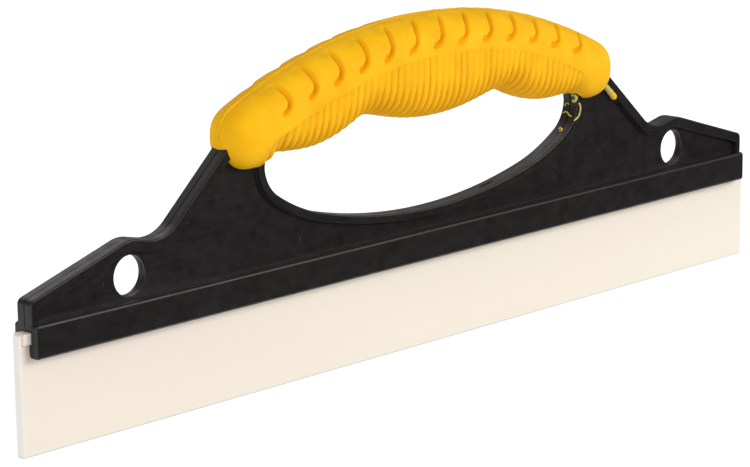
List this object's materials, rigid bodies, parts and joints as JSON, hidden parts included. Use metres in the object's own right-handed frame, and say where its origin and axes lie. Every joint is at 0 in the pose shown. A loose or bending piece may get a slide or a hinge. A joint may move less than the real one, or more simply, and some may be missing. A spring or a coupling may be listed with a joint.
{
  "type": "hand squeegee",
  "caption": "Hand squeegee: bordered plastic frame with a soft arched grip over a finger opening, hanging holes and a silicone strip that slides in its clamp bar.",
  "frame": {"origin": "on the wiping edge of the blade, under the middle of the handle: the centre of the bottom of the bounding box", "axes": "+X along the blade, -Y towards the front of the frame, +Z from the wiping edge up to the grip"},
  "size_m": [0.3264, 0.023, 0.1044],
  "materials": {
    "frame_plastic": "satin black moulded plastic",
    "grip_rubber": "matte yellow moulded rubber",
    "blade_silicone": "milky translucent silicone"
  },
  "bodies": {
    "handle": {"frame_front": "frame_plastic", "frame_back": "frame_plastic", "grip": "grip_rubber"},
    "blade": {"blade": "blade_silicone"}
  },
  "joints": [
    {"name": "blade_slide", "type": "slide", "parent": "handle", "child": "blade", "axis": [1, 0, 0], "range_m": [-0.3264, 0.3264]}
  ]
}
